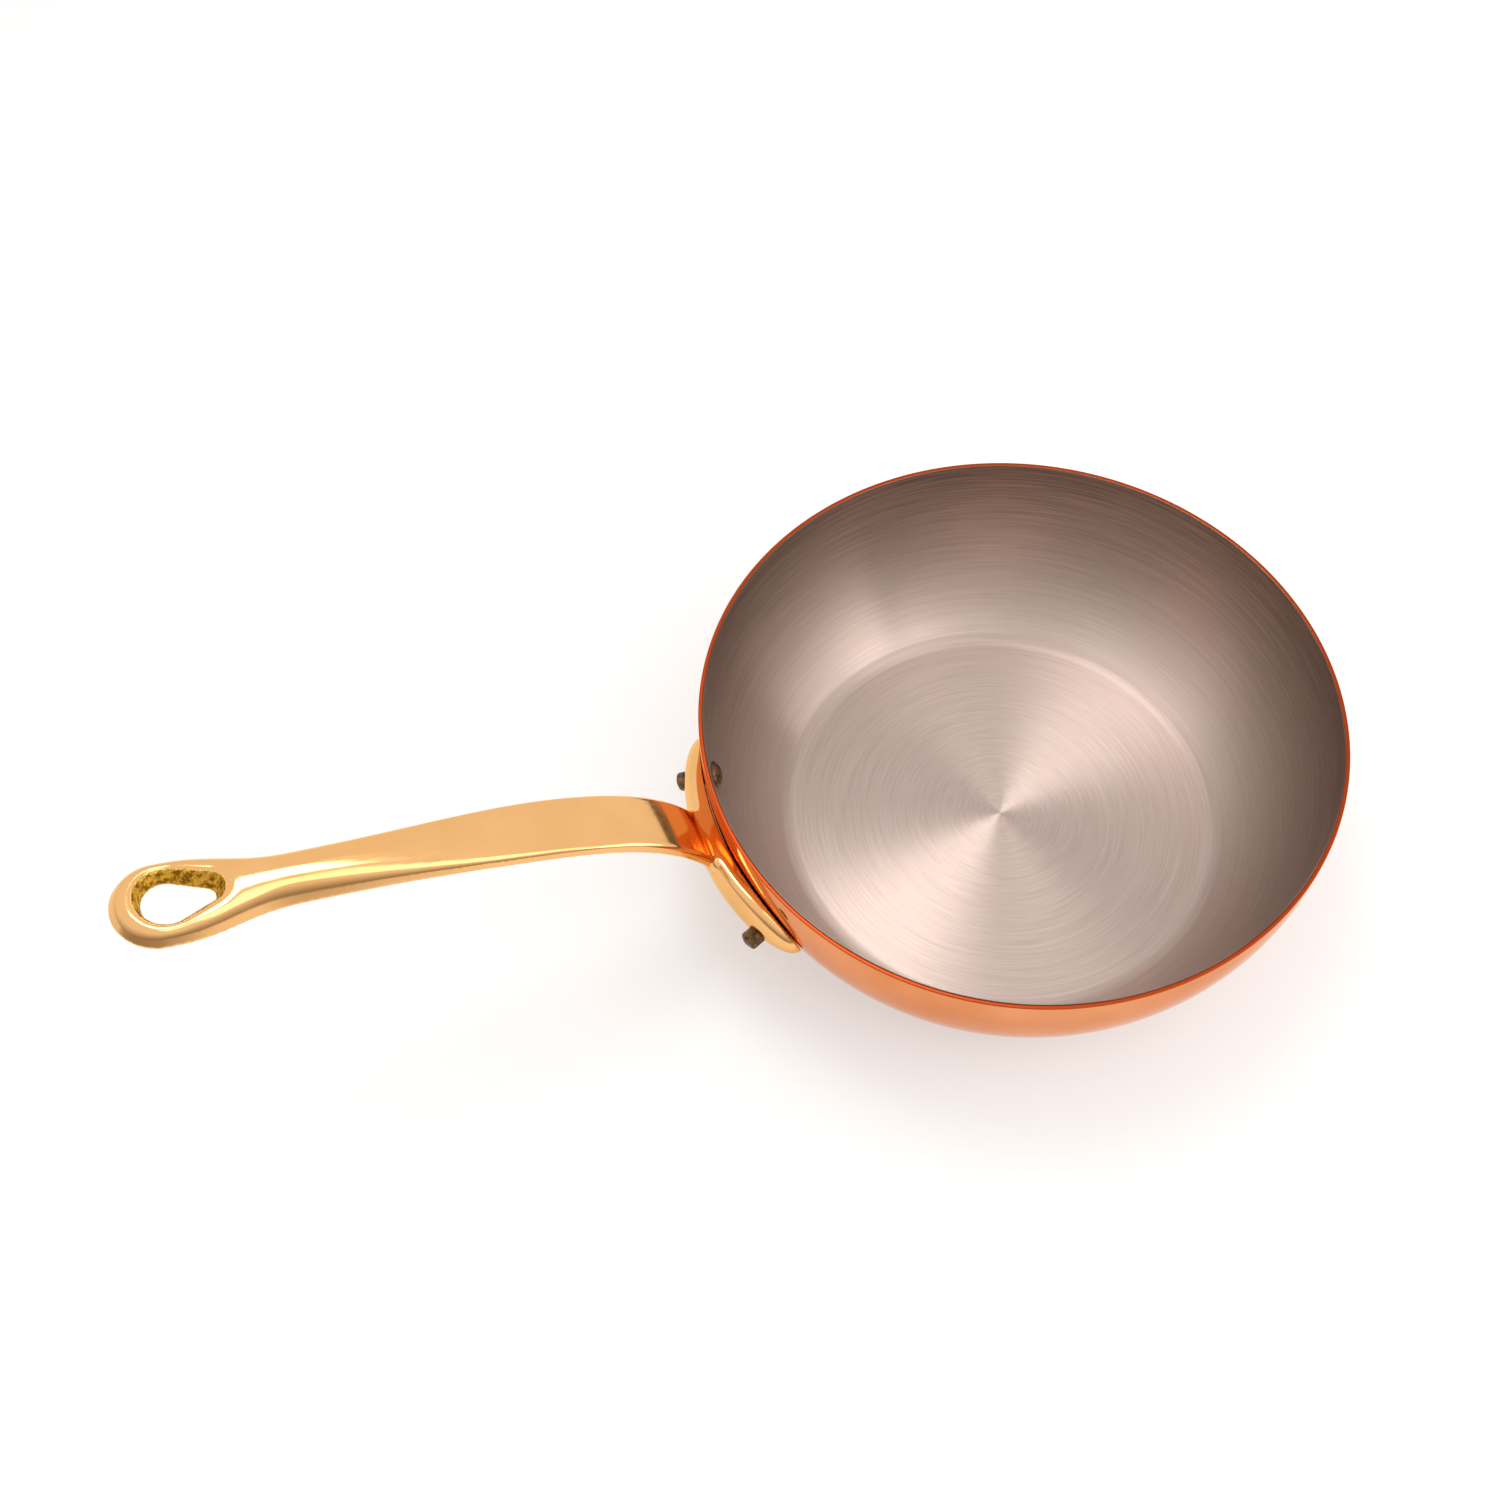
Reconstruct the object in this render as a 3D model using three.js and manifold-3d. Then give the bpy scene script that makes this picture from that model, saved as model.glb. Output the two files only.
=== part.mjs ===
// Chef's pan: a curved copper bowl with a thin steel lining, and a cast brass handle held by two rivets.
// Millimetres, +Z up. The origin is the centre of the flat base, and the handle points along -X.

import * as THREE from 'three';
import { mergeVertices } from 'three/addons/utils/BufferGeometryUtils.js';
import Module from 'manifold-3d';

const wasm = await Module();
wasm.setup();

// Bowl
const rimDiameter = 200;
const bowlHeight = 64;
const rimStraight = 4;
const wallArcRadius = 76;
const baseBendRadius = 10;
const copperThickness = 1.3;
const steelThickness = 0.2;
const bondGap = 0.02;

// Flange of the handle, hugging the outside of the wall
const flangeLength = 84;
const flangeHeight = 27;
const flangeThickness = 8;
const flangeDrop = 25.5;
const flangeDome = 0.55;
const flangeGap = 0.3;

// Centre line of the handle, seen from the side
const rootDepth = 3.8;
const rootRaise = 5.5;
const neckRun = 14.7;
const neckRise = 44.5;
const handleReach = 168.4;
const handleLift = 51.4;
const shaftRun = 107;
const shaftRise = 26.5;

// Section of the handle, from the neck to the tip
const neckWidth = 18;
const neckThickness = 4.2;
const neckLength = 55;
const neckSquareness = 4.5;
const waistWidth = 12.6;
const eyeWidth = 24.8;
const eyeThickness = 7;
const eyeLength = 50;
const eyeSquareness = 2.6;
const tipRounding = 4;

// Teardrop hole in the eye
const holeWidth = 13.5;
const holeLength = 22;
const holeMargin = 8.2;
const holePointRadius = 2;
const holeLip = 1.8;

// Rivets
const rivetInset = 12.7;
const shankDiameter = 4.6;
const rivetHeadDiameter = 8.6;
const rivetHeadHeight = 2;
const tailDiameter = 6;
const tailHeight = 4.6;
const tailRounding = 1;
const tailSink = 1.75;
const rivetClearance = 0.15;
const rivetSeatGap = 0.3;
const drillOverrun = 6;

// Fineness of the faceted surfaces
const bowlFacets = 72;
const wallSteps = 7;
const bendSteps = 3;
const shaftRings = 40;
const shaftFacets = 20;
const flangeRings = 18;
const flangeFacets = 20;
const holeSteps = 8;
const rivetFacets = 16;
const domeSteps = 3;

const rimRadius = rimDiameter / 2;
const wallThickness = copperThickness + bondGap + steelThickness;

// Closed solid of a geometry, with the seams joined and the slivers at the poles dropped
function solid(geometry) {
  const bare = new THREE.BufferGeometry();
  bare.setAttribute('position', geometry.getAttribute('position').clone());
  bare.setIndex(geometry.getIndex());
  const merged = mergeVertices(bare);
  const index = merged.getIndex().array;
  const triangles = [];
  for (let i = 0; i < index.length; i += 3) {
    const [a, b, c] = index.subarray(i, i + 3);
    if (a !== b && b !== c && c !== a) triangles.push(a, b, c);
  }
  const vertProperties = new Float32Array(merged.getAttribute('position').array);
  const triVerts = new Uint32Array(triangles);
  return new wasm.Manifold(new wasm.Mesh({ numProp: 3, vertProperties, triVerts }));
}

function geometryOf(body) {
  const { vertProperties, triVerts } = body.getMesh();
  const geometry = new THREE.BufferGeometry();
  geometry.setAttribute('position', new THREE.BufferAttribute(new Float32Array(vertProperties), 3));
  geometry.setIndex(new THREE.BufferAttribute(new Uint32Array(triVerts), 1));
  geometry.computeVertexNormals();
  return geometry;
}

// Solid turned about the Z axis from a profile of radius and height
function turned(profile, facets) {
  return new THREE.LatheGeometry(profile, facets).rotateX(Math.PI / 2);
}

// Moves every vertex of a geometry to the place that a rule gives it
function reshape(geometry, place) {
  const position = geometry.getAttribute('position');
  const vertex = new THREE.Vector3();
  for (let i = 0; i < position.count; i += 1) {
    vertex.fromBufferAttribute(position, i);
    position.setXYZ(i, ...place(vertex, i).toArray());
  }
  return geometry;
}

// Bowl profile at a depth into the wall, from the base centre up to the rim
const wallArcHeight = bowlHeight - rimStraight;
const wallArcCentre = new THREE.Vector2(rimRadius - wallArcRadius, wallArcHeight);
const bendHeight = wallArcHeight - baseBendRadius;
const bendReach = Math.sqrt((wallArcRadius - baseBendRadius) ** 2 - bendHeight ** 2);
const bendCentre = new THREE.Vector2(wallArcCentre.x + bendReach, baseBendRadius);
const bendAngle = -Math.atan2(bendHeight, bendReach);

function arcPoints(centre, radius, from, to, steps) {
  const arc = new THREE.ArcCurve(centre.x, centre.y, radius, from, to, to < from);
  return arc.getPoints(steps);
}

function bowlLine(depth) {
  const bend = arcPoints(bendCentre, baseBendRadius - depth, -Math.PI / 2, bendAngle, bendSteps);
  const wall = arcPoints(wallArcCentre, wallArcRadius - depth, bendAngle, 0, wallSteps);
  return [
    new THREE.Vector2(0, depth),
    ...bend,
    ...wall.slice(1),
    new THREE.Vector2(rimRadius - depth, bowlHeight),
  ];
}

// Shell between two depths into the wall, as one closed profile that starts and ends on the axis
function bowlLayer(outerDepth, innerDepth) {
  const profile = [...bowlLine(outerDepth), ...bowlLine(innerDepth).reverse()];
  return solid(turned(profile, bowlFacets));
}

// Outside of the wall: radius and lean from the upright at a drop below the rim
function wallAt(drop) {
  const below = Math.max(drop - rimStraight, 0);
  const lean = Math.asin(below / wallArcRadius);
  return { radius: wallArcCentre.x + wallArcRadius * Math.cos(lean), lean };
}

// Rise of the flange's domed face, at shares of its half length and half height from its middle
function flangeRise(alongShare, upShare) {
  const left = Math.max(1 - alongShare ** 2 - upShare ** 2, 0);
  return flangeThickness * Math.sqrt(left) ** flangeDome;
}

// Flange: a rounded leaf, flat on the wall and domed outwards, with its long way round the pan
function flangeBody() {
  const leaf = new THREE.SphereGeometry(1, flangeFacets, flangeRings);
  const middle = new THREE.Vector3();
  reshape(leaf, ({ x, y, z }) => {
    const drop = flangeDrop - (x * flangeHeight) / 2;
    const dome = z > 0 ? flangeRise(y, x) : 0;
    const turn = Math.PI - (y * flangeLength) / 2 / rimRadius;
    const radius = wallAt(drop).radius + flangeGap + dome;
    return middle.set(radius * Math.cos(turn), radius * Math.sin(turn), bowlHeight - drop);
  });
  return solid(leaf);
}

// Centre line of the handle in the XZ plane, from its root in the flange to its tip
const rootDrop = flangeDrop - rootRaise;
const root = new THREE.Vector3(-wallAt(rootDrop).radius - rootDepth, 0, bowlHeight - rootDrop);
const tip = new THREE.Vector3(-rimRadius - handleReach, 0, bowlHeight + handleLift);
const handleLine = new THREE.CubicBezierCurve3(
  root,
  new THREE.Vector3(root.x - neckRun, 0, root.z + neckRise),
  new THREE.Vector3(tip.x + shaftRun, 0, tip.z - shaftRise),
  tip,
);
const handleLength = handleLine.getLength();
const across = new THREE.Vector3(0, 1, 0);

// Point, direction and upward normal of the centre line at a distance from the tip
function handleFrame(fromTip) {
  const share = 1 - fromTip / handleLength;
  const along = handleLine.getTangentAt(share);
  const up = new THREE.Vector3().crossVectors(across, along);
  return { point: handleLine.getPointAt(share), along, up };
}

// Half outline of the handle seen from above: distance from the tip against half width
function handleOutline() {
  const eye = new THREE.Vector2(eyeWidth / 2, eyeWidth / 2);
  const waist = new THREE.Vector2(eyeLength, waistWidth / 2);
  const neck = new THREE.Vector2(handleLength - neckLength, neckWidth / 2);
  const end = new THREE.Vector2(handleLength, neckWidth / 2);
  const easeBetween = (from, to) => {
    const half = (from.x + to.x) / 2;
    return new THREE.CubicBezierCurve(
      from, new THREE.Vector2(half, from.y), new THREE.Vector2(half, to.y), to,
    );
  };
  const outline = new THREE.CurvePath();
  outline.add(new THREE.EllipseCurve(eye.x, 0, eye.x, eye.y, Math.PI, Math.PI / 2, true));
  outline.add(easeBetween(eye, waist));
  outline.add(easeBetween(waist, neck));
  outline.add(new THREE.LineCurve(neck, end));
  return outline.getSpacedPoints(shaftRings);
}

// Half thickness and squareness of the section at a distance from the tip
function handleSection(fromTip) {
  const share = THREE.MathUtils.smoothstep(fromTip, eyeLength / 2, handleLength - neckLength);
  const thickness = THREE.MathUtils.lerp(eyeThickness, neckThickness, share);
  const round = Math.max(1 - fromTip / tipRounding, 0);
  return {
    halfThickness: (thickness / 2) * Math.sqrt(1 - round ** 2),
    squareness: THREE.MathUtils.lerp(eyeSquareness, neckSquareness, share),
  };
}

const towards = (share, squareness) => Math.sign(share) * Math.abs(share) ** (2 / squareness);

// Shaft, eye and neck: a ball drawn out along the centre line, ring by ring
function shaftBody() {
  const bar = new THREE.SphereGeometry(1, shaftFacets, shaftRings);
  const outline = handleOutline();
  reshape(bar, (vertex, i) => {
    const ring = Math.floor(i / (shaftFacets + 1));
    const turn = ((i % (shaftFacets + 1)) % shaftFacets) * ((2 * Math.PI) / shaftFacets);
    const { x: fromTip, y: halfWidth } = outline[ring];
    const { point, up } = handleFrame(fromTip);
    const isPole = ring === 0 || ring === shaftRings;
    if (isPole) return point;
    const { halfThickness, squareness } = handleSection(fromTip);
    const side = -halfWidth * towards(Math.cos(turn), squareness);
    const rise = halfThickness * towards(Math.sin(turn), squareness);
    return point.addScaledVector(across, side).addScaledVector(up, rise);
  });
  return solid(bar);
}

// Teardrop hole outline, with its round end towards the tip of the handle
function teardrop() {
  const radius = holeWidth / 2;
  const pointAt = holeLength - radius - holePointRadius;
  const lean = Math.acos((radius - holePointRadius) / pointAt);
  const shape = new THREE.Shape();
  shape.absarc(0, 0, radius, lean, 2 * Math.PI - lean, false);
  shape.absarc(pointAt, 0, holePointRadius, -lean, lean, false);
  shape.closePath();
  return shape;
}

// Hole through the eye, opening out at both faces
function eyeHole() {
  const { point, along, up } = handleFrame(holeMargin + holeWidth / 2);
  const frame = new THREE.Matrix4().makeBasis(along.negate(), across, up);
  frame.setPosition(point);
  const cutter = (from, options) => {
    const shape = new THREE.ExtrudeGeometry(teardrop(), { curveSegments: holeSteps, ...options });
    return solid(shape.translate(0, 0, from).applyMatrix4(frame));
  };
  const half = eyeThickness / 2;
  const lip = { bevelSegments: 1, bevelThickness: holeLip, bevelSize: holeLip };
  const through = cutter(-eyeThickness, { depth: 2 * eyeThickness, bevelEnabled: false });
  const upper = cutter(half, { depth: eyeThickness, ...lip });
  const lower = cutter(-half - eyeThickness, { depth: eyeThickness, ...lip });
  return through.add(upper).add(lower);
}

// Rivets stand square to the wall on the flange's long axis: their own Z axis points out,
// from zero at the outside of the wall, and their tails are seated in the flange's face
const rivetWall = wallAt(flangeDrop);
const rivetShare = 1 - rivetInset / (flangeLength / 2);
const rivetTurn = (rivetShare * flangeLength) / 2 / rimRadius;
const rivetSeat = flangeGap + flangeRise(rivetShare, 0) - tailSink;

function placeRivet(turn) {
  const holder = new THREE.Group();
  holder.rotation.z = Math.PI + turn;
  const stand = new THREE.Group();
  stand.position.set(rivetWall.radius, 0, bowlHeight - flangeDrop);
  stand.rotation.y = Math.PI / 2 + rivetWall.lean;
  holder.add(stand);
  holder.updateMatrixWorld(true);
  return { holder, stand };
}

// Low domed head inside the pan, plain shank, and a stout tail seated in the flange
function rivetProfile() {
  const seat = -wallThickness - rivetSeatGap;
  const headRadius = rivetHeadDiameter / 2;
  const tailRadius = tailDiameter / 2;
  const tailEnd = rivetSeat + rivetSeatGap + tailHeight;
  const domeRadius = (headRadius ** 2 + rivetHeadHeight ** 2) / (2 * rivetHeadHeight);
  const domeAngle = Math.asin(headRadius / domeRadius);
  const domeCentre = new THREE.Vector2(0, seat - rivetHeadHeight + domeRadius);
  const edge = new THREE.Vector2(tailRadius - tailRounding, tailEnd - tailRounding);
  return [
    ...arcPoints(domeCentre, domeRadius, -Math.PI / 2, domeAngle - Math.PI / 2, domeSteps),
    new THREE.Vector2(shankDiameter / 2, seat),
    new THREE.Vector2(shankDiameter / 2, rivetSeat + rivetSeatGap),
    new THREE.Vector2(tailRadius, rivetSeat + rivetSeatGap),
    ...arcPoints(edge, tailRounding, 0, Math.PI / 2, domeSteps),
    new THREE.Vector2(0, tailEnd),
  ];
}

// Space that a rivet takes in the pieces that it holds: a clear hole, and a flat seat for the tail
function rivetSpace(stand) {
  const bore = shankDiameter / 2 + rivetClearance;
  const seatBore = tailDiameter / 2 + rivetClearance;
  const profile = [
    new THREE.Vector2(0, -drillOverrun),
    new THREE.Vector2(bore, -drillOverrun),
    new THREE.Vector2(bore, rivetSeat),
    new THREE.Vector2(seatBore, rivetSeat),
    new THREE.Vector2(seatBore, rivetSeat + drillOverrun),
    new THREE.Vector2(0, rivetSeat + drillOverrun),
  ];
  return solid(turned(profile, rivetFacets).applyMatrix4(stand.matrixWorld));
}

// Assembly
const copper = new THREE.MeshStandardMaterial({ color: '#d9804c', roughness: 0.12, metalness: 1 });
const steel = new THREE.MeshStandardMaterial({ color: '#c2b0a6', roughness: 0.32, metalness: 1 });
const brass = new THREE.MeshStandardMaterial({ color: '#e6b866', roughness: 0.14, metalness: 1 });
const bronze = new THREE.MeshStandardMaterial({ color: '#5a4330', roughness: 0.45, metalness: 1 });

function piece(name, geometry, material) {
  const mesh = new THREE.Mesh(geometry, material);
  mesh.name = name;
  return mesh;
}

const rivets = [
  { name: 'rivet_left', ...placeRivet(-rivetTurn) },
  { name: 'rivet_right', ...placeRivet(rivetTurn) },
];
const drilled = (body) => rivets.reduce((rest, { stand }) => rest.subtract(rivetSpace(stand)), body);

const shell = drilled(bowlLayer(0, copperThickness));
const lining = drilled(bowlLayer(copperThickness + bondGap, wallThickness));
const handle = drilled(shaftBody().add(flangeBody()).subtract(eyeHole()));

const pan = new THREE.Group();
pan.add(piece('copper_shell', geometryOf(shell), copper));
pan.add(piece('steel_lining', geometryOf(lining), steel));
pan.add(piece('brass_handle', geometryOf(handle), brass));
for (const { name, holder, stand } of rivets) {
  stand.add(piece(name, turned(rivetProfile(), rivetFacets), bronze));
  pan.add(holder);
}

export default pan;
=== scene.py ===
import math

import bpy
import numpy as np
from mathutils import Matrix, Vector


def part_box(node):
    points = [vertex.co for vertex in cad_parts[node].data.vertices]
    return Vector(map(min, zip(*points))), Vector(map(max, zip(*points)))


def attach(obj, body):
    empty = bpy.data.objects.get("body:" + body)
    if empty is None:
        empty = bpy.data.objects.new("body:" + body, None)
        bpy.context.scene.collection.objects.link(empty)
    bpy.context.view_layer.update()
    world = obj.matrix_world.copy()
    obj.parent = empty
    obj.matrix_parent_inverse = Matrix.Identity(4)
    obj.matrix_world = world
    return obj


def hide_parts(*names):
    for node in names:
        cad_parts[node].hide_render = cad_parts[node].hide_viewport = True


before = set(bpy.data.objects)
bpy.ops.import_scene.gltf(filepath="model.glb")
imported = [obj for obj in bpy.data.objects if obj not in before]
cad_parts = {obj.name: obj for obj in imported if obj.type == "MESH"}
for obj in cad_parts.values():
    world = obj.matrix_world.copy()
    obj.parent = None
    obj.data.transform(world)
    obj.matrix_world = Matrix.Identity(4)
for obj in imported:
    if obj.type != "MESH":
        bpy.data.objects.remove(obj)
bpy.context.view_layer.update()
mm = 0.001  # sizes below are in millimetres, meshes are in metres
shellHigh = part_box("copper_shell")[1] / mm
rimRadius, rimHeight = shellHigh.x, shellHigh.z
print("frame loaded:", ", ".join(sorted(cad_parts)))


def hexColor(code):
    channels = [int(code[i:i + 2], 16) / 255 for i in (1, 3, 5)]
    linear = [c / 12.92 if c <= 0.04045 else ((c + 0.055) / 1.055) ** 2.4 for c in channels]
    return (*linear, 1.0)


# settings hold the node's own options and the values of its sockets, links hold socket to source
def addNode(tree, kind, settings={}, links={}):
    node = tree.nodes.new("ShaderNode" + kind)
    for key, value in settings.items():
        if isinstance(key, str) and hasattr(node, key):
            setattr(node, key, value)
        else:
            node.inputs[key].default_value = value
    for key, source in links.items():
        tree.links.new(source, node.inputs[key])
    return node


def newMaterial(name):
    material = bpy.data.materials.new(name)
    material.use_nodes = True
    material.node_tree.nodes.clear()
    return material, material.node_tree


# one normal for each corner of each face
def newPiece(name, vertices, faces, normals, material):
    mesh = bpy.data.meshes.new(name)
    mesh.from_pydata((np.array(vertices) * mm).tolist(), [], faces, shade_flat=False)
    mesh.normals_split_custom_set(normals)
    mesh.materials.append(material)
    piece = bpy.data.objects.new(name, mesh)
    bpy.context.scene.collection.objects.link(piece)
    return piece


# points of a turned profile with the way that they face: radius, height, radial and upright facing
def arc(centre, radius, start, end, steps, facing=1):
    turn = np.radians(np.linspace(start, end, steps + 1))
    ray = np.column_stack((np.cos(turn), np.sin(turn)))
    return np.hstack((np.array(centre) + radius * ray, facing * ray))


# a closed profile, from the axis round to the axis again, turned about Z; a point that comes twice
# with two facings makes a sharp edge
def turnProfile(profile, segments):
    turn = np.arange(segments + 1) * 2 * math.pi / segments
    vertices, rings, faces, normals = [], [], [], []
    for k, (radius, height, _, _) in enumerate(profile):
        if k and np.allclose(profile[k, :2], profile[k - 1, :2]):
            rings.append(rings[-1])
            continue
        spots = turn[:1] if np.isclose(radius, 0) else turn[:-1]
        rings.append(len(vertices) + np.arange(segments + 1) % len(spots))
        vertices += [(radius * math.cos(a), radius * math.sin(a), height) for a in spots]
    for k in range(len(profile) - 1):
        if rings[k] is rings[k + 1]:
            continue
        for i in range(segments):
            around = (k, i), (k, i + 1), (k + 1, i + 1), (k + 1, i)
            corners = {int(rings[n][m]): (n, m) for n, m in around}
            faces.append(list(corners))
            for n, m in corners.values():
                outward, upward = profile[n, 2:]
                normals.append((outward * math.cos(turn[m]), outward * math.sin(turn[m]), upward))
    return vertices, faces, normals


def smoothStep(low, high, value):
    share = np.clip((value - low) / (high - low), 0, 1)
    return share ** 3 * (share * (share * 6 - 15) + 10)


def softMin(a, b, reach):
    near = np.clip(reach - np.abs(a - b), 0, None) / reach
    return np.minimum(a, b) - near ** 3 * reach / 6


def softMax(a, b, reach):
    return -softMin(-a, -b, reach)


# the space below two faces that meet at an edge of this radius
def softCorner(a, b, radius):
    a, b = a + radius, b + radius
    return np.minimum(np.maximum(a, b), 0) + np.hypot(np.maximum(a, 0), np.maximum(b, 0)) - radius


# noise drawn out into lines round the pan, this many mm apart; changes is how often a line
# fades and comes back on its way round
def spunLines(tree, spacing, changes):
    place = addNode(tree, "TexCoord").outputs["Object"]
    flat = addNode(tree, "VectorMath", {"operation": "MULTIPLY", 1: (1, 1, 0)}, {0: place}).outputs[0]
    around = addNode(tree, "VectorMath", {"operation": "NORMALIZE"}, {0: flat}).outputs[0]
    reach = addNode(tree, "VectorMath", {"operation": "LENGTH"}, {0: flat}).outputs["Value"]
    height = addNode(tree, "SeparateXYZ", {}, {0: place}).outputs["Z"]
    climb = addNode(tree, "Math", {"operation": "ADD"}, {0: height, 1: reach}).outputs[0]
    line = addNode(tree, "Math", {"operation": "DIVIDE", 1: spacing * mm}, {0: climb}).outputs[0]
    lineAt = addNode(tree, "CombineXYZ", {}, {"Z": line}).outputs[0]
    spun = addNode(tree, "VectorMath", {
        "operation": "MULTIPLY_ADD", 1: (changes, changes, 0),
    }, {0: around, 2: lineAt}).outputs[0]
    return addNode(tree, "TexNoise", {
        "Scale": 1.0, "Detail": 3.0, "Roughness": 0.6,
    }, {"Vector": spun}).outputs["Fac"]


copperFinish = {
    "metal": "#E49C6C",
    "tarnish": "#D98A58",
    "grazing": "#FFE4D2",         # tint of the shine seen along the surface
    "cutEdge": "#A5401A",         # darker, redder colour along the edge of the sheet at the rim
    "edgeBand": (0.3, 0.1),       # mm below the rim, where that edge begins and is full
    "roughness": (0.04, 0.09),
    "edgeRoughness": 0.32,
    "buffLine": 0.6,              # mm between buffing lines, coarser than real so that they show
    "buffChanges": 2.5,
    "buffLevels": (0.3, 0.7),     # of the noise, where a line is smoothest and roughest
    "buffBump": (0.05, 0.02),     # strength, and depth in mm
    "tarnishPatch": 40,           # mm
    "tarnishLevels": (0.45, 0.75),    # of the noise, where the copper is bare and tarnished
}


# copper, spun and mirror buffed: clear warm reflections, with faint lines round the pan
def spunCopper():
    material, tree = newMaterial("copper_spun_and_buffed")
    place = addNode(tree, "TexCoord").outputs["Object"]
    height = addNode(tree, "SeparateXYZ", {}, {0: place}).outputs["Z"]
    lines = spunLines(tree, copperFinish["buffLine"], copperFinish["buffChanges"])
    patch = addNode(tree, "TexNoise", {
        "Scale": 1 / (copperFinish["tarnishPatch"] * mm), "Detail": 3.0,
    }, {"Vector": place}).outputs["Fac"]
    bare, full = copperFinish["tarnishLevels"]
    tarnish = addNode(tree, "MapRange", {"From Min": bare, "From Max": full}, {"Value": patch}).outputs[0]
    tint = addNode(tree, "Mix", {
        "data_type": "RGBA", 6: hexColor(copperFinish["metal"]), 7: hexColor(copperFinish["tarnish"]),
    }, {0: tarnish}).outputs[2]
    edgeLow, edgeHigh = ((rimHeight - drop) * mm for drop in copperFinish["edgeBand"])
    rim = addNode(tree, "MapRange", {
        "From Min": edgeLow, "From Max": edgeHigh,
    }, {"Value": height}).outputs[0]
    color = addNode(tree, "Mix", {
        "data_type": "RGBA", 7: hexColor(copperFinish["cutEdge"]),
    }, {0: rim, 6: tint}).outputs[2]
    smooth, rough = copperFinish["roughness"]
    low, high = copperFinish["buffLevels"]
    buffed = addNode(tree, "MapRange", {
        "From Min": low, "From Max": high, "To Min": smooth, "To Max": rough,
    }, {"Value": lines}).outputs[0]
    roughness = addNode(tree, "Mix", {
        "data_type": "FLOAT", 3: copperFinish["edgeRoughness"],
    }, {0: rim, 2: buffed}).outputs[0]
    strength, depth = copperFinish["buffBump"]
    bump = addNode(tree, "Bump", {
        "Strength": strength, "Distance": depth * mm,
    }, {"Height": lines}).outputs[0]
    metal = addNode(tree, "BsdfPrincipled", {
        "Metallic": 1.0, "Specular Tint": hexColor(copperFinish["grazing"]),
    }, {"Base Color": color, "Roughness": roughness, "Normal": bump})
    addNode(tree, "OutputMaterial", {}, {"Surface": metal.outputs[0]})
    return material


steelFinish = {
    "metal": "#CFBBB1",
    "groove": "#BFABA1",
    "wallPaintedShade": ("#8C847D", "#C1B7AE"),    # painted shade on the wall, a darker and a paler tint that its lines pick between, full at the rim
    "wallFrom": 6,                # mm above the table, where that painted shade begins
    "wallLines": (0.7, 3.2),      # mm between those lines, drawn by a coarser belt
    "roughness": (0.29, 0.35),
    "cornerRoughness": 0.46,      # in the bend below the wall, where the belt doesn't reach well
    "cornerBand": (2.6, 1.6),     # mm above the table and to each side of it
    "anisotropy": 0.92,
    "smearTurn": 0.25,            # of a turn, so that lamps smear across the grooves
    "grooves": (0.35, 2.4),       # mm between grooves, coarser than the belt's grit so that they show
    "bands": (3.0, 1.2),          # mm, wider bands where the belt was pressed harder
    "bandShare": 0.15,
    "lineLevels": (0.35, 0.65),   # of the noise, where a line is deepest and highest
    "grooveBump": (0.06, 0.02),   # strength, and depth in mm
}
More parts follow.
